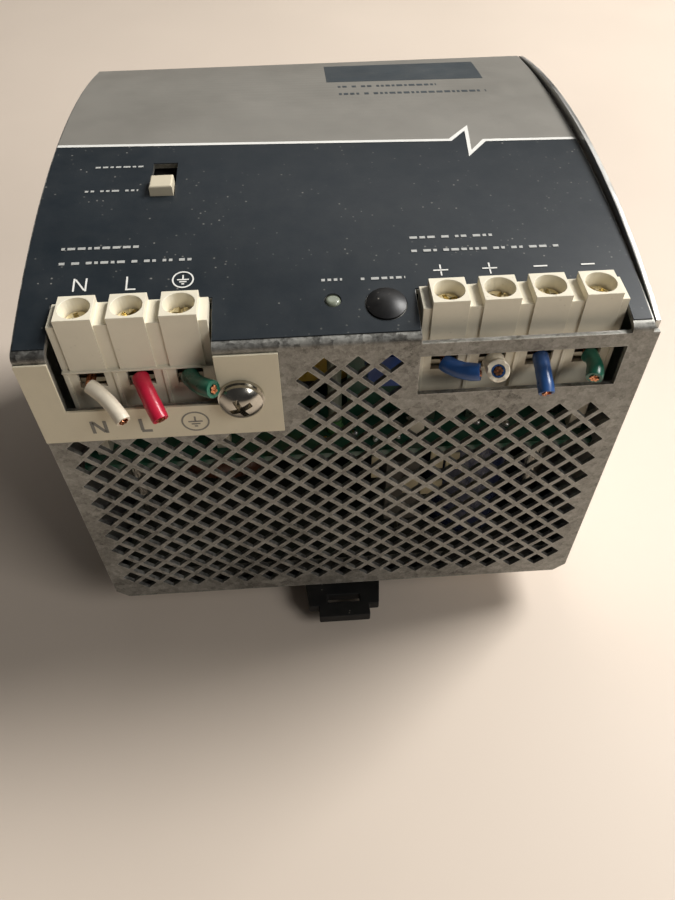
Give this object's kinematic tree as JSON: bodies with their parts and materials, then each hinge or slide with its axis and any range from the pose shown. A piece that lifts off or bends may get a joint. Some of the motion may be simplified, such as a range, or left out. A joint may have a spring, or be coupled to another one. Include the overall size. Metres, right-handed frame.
{
  "type": "din rail power supply",
  "caption": "Enclosed rail-mounted power supply with a crowned front, diamond vent mesh, two screw terminal blocks, a voltage slide selector and a spring latch.",
  "frame": {"origin": "middle of the overall box on the plane of the rail hooks' lowest faces", "axes": "+X along the rail, +Y up the cabinet when mounted (away from the terminals), +Z out of the front panel"},
  "size_m": [0.12, 0.1254, 0.1072],
  "materials": {
    "chassis_aluminium": "bright mill finish",
    "hood_steel": "galvanised, dull spangle",
    "foil": "satin printed foil, dark near part and warm grey far part",
    "plate_plastic": "matte cream",
    "screw_steel": "bright nickel plated",
    "terminal_plastic": "matte cream moulding",
    "tinned_brass": "tinned",
    "white_insulation": "satin",
    "red_insulation": "satin",
    "green_insulation": "satin",
    "blue_insulation": "satin",
    "copper": "bare copper",
    "black_plastic": "fine texture",
    "selector_plastic": "cream moulding",
    "clear_plastic": "clear acrylic",
    "lamp_plastic": "diffused",
    "board_green": "solder mask",
    "trimmer_blue": "moulded",
    "film": "film",
    "ferrite": "ground ferrite",
    "yellow_tape": "polyester tape",
    "capacitor_black": "shrink sleeve",
    "heatsink_aluminium": "extruded",
    "capacitor_blue": "shrink sleeve",
    "cream_plastic": "moulded box",
    "glass_fuse": "ceramic body with caps",
    "spring_steel": "drawn wire",
    "terminal_screw": "zinc plated",
    "clamp_steel": "zinc plated"
  },
  "bodies": {
    "case": {"chassis": "chassis_aluminium", "hood": "hood_steel", "front_foil": "foil", "insulating_plate": "plate_plastic", "earth_screw": "screw_steel", "earth_washer": "screw_steel", "input_terminal_block": "terminal_plastic", "output_terminal_block": "terminal_plastic", "input_busbars": "tinned_brass", "output_busbars": "tinned_brass", "white_wires": "white_insulation", "red_wires": "red_insulation", "green_wires": "green_insulation", "blue_wires": "blue_insulation", "wire_cores": "copper", "selector_body": "black_plastic", "light_guide": "clear_plastic", "indicator_led": "lamp_plastic", "adjuster_board": "board_green", "trimmer_body": "trimmer_blue", "upper_board": "board_green", "lower_board": "board_green", "insulating_sheet": "film", "lower_posts": "screw_steel", "upper_posts": "screw_steel", "board_screws": "screw_steel", "transformer_core": "ferrite", "transformer_winding": "yellow_tape", "output_choke": "copper", "output_capacitors": "capacitor_black", "heatsinks": "heatsink_aluminium", "power_transistors": "black_plastic", "bulk_capacitors": "capacitor_blue", "line_choke": "copper", "filter_capacitor": "cream_plastic", "bridge_rectifier": "black_plastic", "fuse": "glass_fuse", "rail_foot": "black_plastic", "latch_spring": "spring_steel", "foot_screws": "screw_steel", "hood_screws": "screw_steel"},
    "voltage_selector": {"selector_knob": "selector_plastic"},
    "rail_latch": {"rail_latch": "black_plastic"},
    "adjuster_plug": {"adjuster_plug": "black_plastic"},
    "trimmer_rotor": {"trimmer_rotor": "selector_plastic"},
    "input_screw_1": {"input_screw_1": "terminal_screw"},
    "input_clamp_1": {"input_clamp_1": "clamp_steel"},
    "input_screw_2": {"input_screw_2": "terminal_screw"},
    "input_clamp_2": {"input_clamp_2": "clamp_steel"},
    "input_screw_3": {"input_screw_3": "terminal_screw"},
    "input_clamp_3": {"input_clamp_3": "clamp_steel"},
    "output_screw_1": {"output_screw_1": "terminal_screw"},
    "output_clamp_1": {"output_clamp_1": "clamp_steel"},
    "output_screw_2": {"output_screw_2": "terminal_screw"},
    "output_clamp_2": {"output_clamp_2": "clamp_steel"},
    "output_screw_3": {"output_screw_3": "terminal_screw"},
    "output_clamp_3": {"output_clamp_3": "clamp_steel"},
    "output_screw_4": {"output_screw_4": "terminal_screw"},
    "output_clamp_4": {"output_clamp_4": "clamp_steel"}
  },
  "joints": [
    {"name": "selector_slide", "type": "slide", "parent": "case", "child": "voltage_selector", "axis": [0, 1, 0], "range_m": [0, 0.0071]},
    {"name": "latch_pull", "type": "slide", "parent": "case", "child": "rail_latch", "axis": [0, -1, 0], "range_m": [0, 0.005], "stiffness_N_per_m": 2500, "springref_m": -0.004, "deforming": ["latch_spring"]},
    {"name": "plug_pull", "type": "slide", "parent": "case", "child": "adjuster_plug", "axis": [0, -0.1818, 0.9833], "range_m": [0, 0.012]},
    {"name": "trimmer_turn", "type": "hinge", "parent": "case", "child": "trimmer_rotor", "pos_m": [0.0091, -0.04775, 0.0885], "axis": [0, 0, 1], "range_deg": [-130, 130]},
    {"name": "input_screw_1_turn", "type": "hinge", "parent": "case", "child": "input_screw_1", "pos_m": [-0.04825, -0.0485, 0.0965], "axis": [0, 0, 1], "range_deg": [0, 1800]},
    {"name": "input_clamp_1_drop", "type": "slide", "parent": "case", "child": "input_clamp_1", "axis": [0, 0, -1], "range_m": [0, 0.003]},
    {"name": "input_screw_2_turn", "type": "hinge", "parent": "case", "child": "input_screw_2", "pos_m": [-0.03875, -0.0485, 0.0965], "axis": [0, 0, 1], "range_deg": [0, 1800]},
    {"name": "input_clamp_2_drop", "type": "slide", "parent": "case", "child": "input_clamp_2", "axis": [0, 0, -1], "range_m": [0, 0.003]},
    {"name": "input_screw_3_turn", "type": "hinge", "parent": "case", "child": "input_screw_3", "pos_m": [-0.02925, -0.0485, 0.0965], "axis": [0, 0, 1], "range_deg": [0, 1800]},
    {"name": "input_clamp_3_drop", "type": "slide", "parent": "case", "child": "input_clamp_3", "axis": [0, 0, -1], "range_m": [0, 0.003]},
    {"name": "output_screw_1_turn", "type": "hinge", "parent": "case", "child": "output_screw_1", "pos_m": [0.0206, -0.0485, 0.0965], "axis": [0, 0, 1], "range_deg": [0, 1800]},
    {"name": "output_clamp_1_drop", "type": "slide", "parent": "case", "child": "output_clamp_1", "axis": [0, 0, -1], "range_m": [0, 0.003]},
    {"name": "output_screw_2_turn", "type": "hinge", "parent": "case", "child": "output_screw_2", "pos_m": [0.0301, -0.0485, 0.0965], "axis": [0, 0, 1], "range_deg": [0, 1800]},
    {"name": "output_clamp_2_drop", "type": "slide", "parent": "case", "child": "output_clamp_2", "axis": [0, 0, -1], "range_m": [0, 0.003]},
    {"name": "output_screw_3_turn", "type": "hinge", "parent": "case", "child": "output_screw_3", "pos_m": [0.0396, -0.0485, 0.0965], "axis": [0, 0, 1], "range_deg": [0, 1800]},
    {"name": "output_clamp_3_drop", "type": "slide", "parent": "case", "child": "output_clamp_3", "axis": [0, 0, -1], "range_m": [0, 0.003]},
    {"name": "output_screw_4_turn", "type": "hinge", "parent": "case", "child": "output_screw_4", "pos_m": [0.0491, -0.0485, 0.0965], "axis": [0, 0, 1], "range_deg": [0, 1800]},
    {"name": "output_clamp_4_drop", "type": "slide", "parent": "case", "child": "output_clamp_4", "axis": [0, 0, -1], "range_m": [0, 0.003]}
  ],
  "couplings": [
    {"joint": "input_screw_1_turn", "follows": "input_clamp_1_drop", "rad_per_m": 10472},
    {"joint": "input_screw_2_turn", "follows": "input_clamp_2_drop", "rad_per_m": 10472},
    {"joint": "input_screw_3_turn", "follows": "input_clamp_3_drop", "rad_per_m": 10472},
    {"joint": "output_screw_1_turn", "follows": "output_clamp_1_drop", "rad_per_m": 10472},
    {"joint": "output_screw_2_turn", "follows": "output_clamp_2_drop", "rad_per_m": 10472},
    {"joint": "output_screw_3_turn", "follows": "output_clamp_3_drop", "rad_per_m": 10472},
    {"joint": "output_screw_4_turn", "follows": "output_clamp_4_drop", "rad_per_m": 10472}
  ]
}
